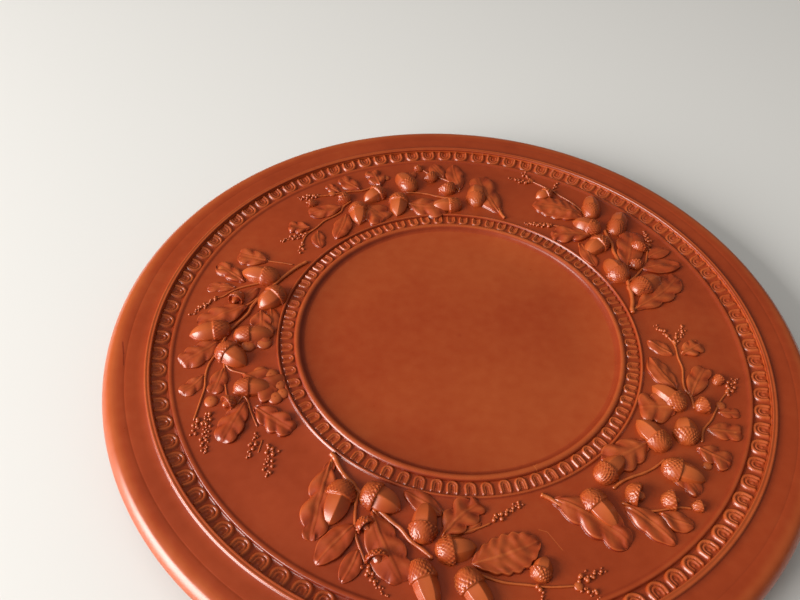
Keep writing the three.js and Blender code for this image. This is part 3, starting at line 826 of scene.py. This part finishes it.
def floor_material():
    """A plain pale floor."""
    material = bpy.data.materials.new("pale_floor")
    material.use_nodes = True
    tree = material.node_tree
    shader = tree.nodes["Principled BSDF"]
    shader.inputs["Base Color"].default_value = bpy.context.scene.stage_settings.floor
    shader.inputs["Roughness"].default_value = 0.6
    return material


# Operators

class SIGILLATA_OT_body(bpy.types.Operator):
    """Turn the plate's body"""

    bl_idname = "sigillata.body"
    bl_label = "Turned body"

    def execute(self, context):
        add_piece("turned_body", [turned_body()])
        return {"FINISHED"}


class SIGILLATA_OT_egg_bands(bpy.types.Operator):
    """Stamp the two egg bands"""

    bl_idname = "sigillata.egg_bands"
    bl_label = "Egg bands"

    def execute(self, context):
        add_piece("outer_egg_band", [egg_band(OUTER_BAND, 11)])
        add_piece("inner_egg_band", [egg_band(INNER_BAND, 12)])
        return {"FINISHED"}


class SIGILLATA_OT_sprays(bpy.types.Operator):
    """Lay the five oak sprays on the field"""

    bl_idname = "sigillata.sprays"
    bl_label = "Oak sprays"

    def execute(self, context):
        for k, (name, growth, turn, crisp) in enumerate(SPRAYS):
            add_piece(name, spray(growth, turn, crisp, context.scene.spray_shape.seed + k))
        return {"FINISHED"}


class SIGILLATA_OT_stage(bpy.types.Operator):
    """Set the floor, the light and the camera"""

    bl_idname = "sigillata.stage"
    bl_label = "Stage"

    def execute(self, context):
        scene = context.scene
        settings = scene.stage_settings
        reach = 4.0
        mesh = bpy.data.meshes.new("floor")
        mesh.from_pydata([(-reach, -reach, 0), (reach, -reach, 0), (reach, reach, 0), (-reach, reach, 0)],
                         [], [(0, 1, 2, 3)])
        floor = bpy.data.objects.new("floor", mesh)
        floor.data.materials.append(floor_material())
        scene.collection.objects.link(floor)

        world = bpy.data.worlds.new("soft_studio")
        world.use_nodes = True
        background = world.node_tree.nodes["Background"]
        background.inputs["Color"].default_value = (1.0, 0.97, 0.9, 1.0)
        ray = world.node_tree.nodes.new("ShaderNodeLightPath")
        strength = math_node(world.node_tree, "MULTIPLY_ADD", ray.outputs["Is Glossy Ray"],
                             settings.mirrored - settings.fill, settings.fill)
        world.node_tree.links.new(strength, background.inputs["Strength"])
        scene.world = world
        window = bpy.data.lights.new("window", "AREA")
        window.shape = "RECTANGLE"
        window.size, window.size_y = 1.35, 1.05
        window.energy = settings.window
        window.color = (1.0, 0.98, 0.95)
        lamp = bpy.data.objects.new("window", window)
        spot = Vector((-1.62, -0.72, 0.7))
        lamp.matrix_world = (Matrix.Translation(spot)
                             @ (Vector((0, 0, 0.02)) - spot).to_track_quat("-Z", "Y").to_matrix().to_4x4())
        scene.collection.objects.link(lamp)
        ceiling = bpy.data.lights.new("ceiling", "AREA")
        ceiling.shape = "SQUARE"
        ceiling.size = 2.2
        ceiling.energy = settings.ceiling
        high = bpy.data.objects.new("ceiling", ceiling)
        high.location = (-1.0, 0.5, 2.4)
        high.rotation_euler = (Vector((0, 0, 0)) - high.location).to_track_quat("-Z", "Y").to_euler()
        high.visible_glossy = False
        scene.collection.objects.link(high)

        scene.view_settings.view_transform = "Standard"

        camera = bpy.data.cameras.new("camera")
        camera.sensor_width = 36.0
        camera.lens = CAMERA["focal_share"] * camera.sensor_width
        eye = bpy.data.objects.new("camera", camera)
        radius = RIM_RADIUS * MM
        target = Vector((CAMERA["target"][0] * radius, CAMERA["target"][1] * radius, FIELD_Z * MM))
        tilt = CAMERA["elevation"]
        outward_way = Vector((0, -math.cos(tilt), math.sin(tilt)))
        level, rising = Vector((1, 0, 0)), Vector((0, math.sin(tilt), math.cos(tilt)))
        cos_roll, sin_roll = math.cos(CAMERA["roll"]), math.sin(CAMERA["roll"])
        right = cos_roll * level + sin_roll * rising
        up = -sin_roll * level + cos_roll * rising
        turn = Matrix((right, up, outward_way)).transposed().to_4x4()
        place = target + CAMERA["distance"] * radius * outward_way
        eye.matrix_world = Matrix.Translation(place) @ turn
        scene.collection.objects.link(eye)
        scene.camera = eye
        return {"FINISHED"}


class SIGILLATA_PT_panel(bpy.types.Panel):
    """The plate's steps in the sidebar"""

    bl_idname = "SIGILLATA_PT_panel"
    bl_label = "Sigillata plate"
    bl_space_type = "VIEW_3D"
    bl_region_type = "UI"
    bl_category = "Plate"

    def draw(self, context):
        for operator in OPERATORS:
            self.layout.operator(operator.bl_idname)


OPERATORS = (SIGILLATA_OT_stage, SIGILLATA_OT_body, SIGILLATA_OT_egg_bands, SIGILLATA_OT_sprays)
SETTINGS = {"plate_sizes": PlateSizes, "spray_shape": SprayShape, "clay_colours": ClayColours,
            "stage_settings": StageSettings}


def register():
    for name, group in SETTINGS.items():
        bpy.utils.register_class(group)
        setattr(bpy.types.Scene, name, PointerProperty(type=group))
    for operator in OPERATORS:
        bpy.utils.register_class(operator)
    bpy.utils.register_class(SIGILLATA_PT_panel)


def unregister():
    bpy.utils.unregister_class(SIGILLATA_PT_panel)
    for operator in OPERATORS:
        bpy.utils.unregister_class(operator)
    for name, group in SETTINGS.items():
        delattr(bpy.types.Scene, name)
        bpy.utils.unregister_class(group)


def main():
    register()
    bpy.ops.sigillata.stage()
    bpy.ops.sigillata.body()
    bpy.ops.sigillata.egg_bands()
    bpy.ops.sigillata.sprays()


if __name__ == "__main__":
    main()
